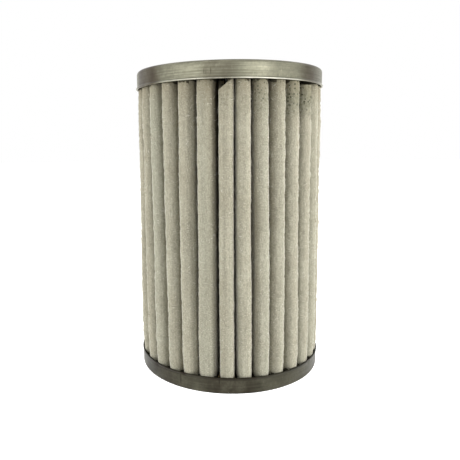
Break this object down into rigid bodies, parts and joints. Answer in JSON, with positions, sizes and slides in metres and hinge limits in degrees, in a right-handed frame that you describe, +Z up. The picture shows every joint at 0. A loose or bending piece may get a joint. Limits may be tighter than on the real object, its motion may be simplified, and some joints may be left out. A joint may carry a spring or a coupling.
{
  "type": "oil filter element",
  "caption": "Round pleated felt filter element between two pressed steel end caps, with a rubber-lined port in the top cap and a perforated centre tube.",
  "frame": {"origin": "centre of the bottom cap's outer face, where the element stands", "axes": "+Z up along the element's axis towards the port; the side shown in the picture faces -Y"},
  "size_m": [0.094, 0.094, 0.1515],
  "materials": {
    "cap_steel": "satin, faint rolling streaks, olive-grey plating",
    "dark_cap_steel": "dull, darkened plating",
    "felt": "thick needled felt, fuzzy, lightly soiled",
    "tinplate": "bright tinplate",
    "tube_steel": "zinc plated sheet",
    "adhesive": "set amber adhesive",
    "rubber": "moulded nitrile rubber"
  },
  "bodies": {
    "root": {"top_end_cap": "cap_steel", "bottom_end_cap": "dark_cap_steel", "pleated_felt": "felt", "felt_joint_clip": "tinplate", "centre_tube": "tube_steel", "top_adhesive": "adhesive", "bottom_adhesive": "adhesive", "port_grommet": "rubber"}
  },
  "joints": []
}
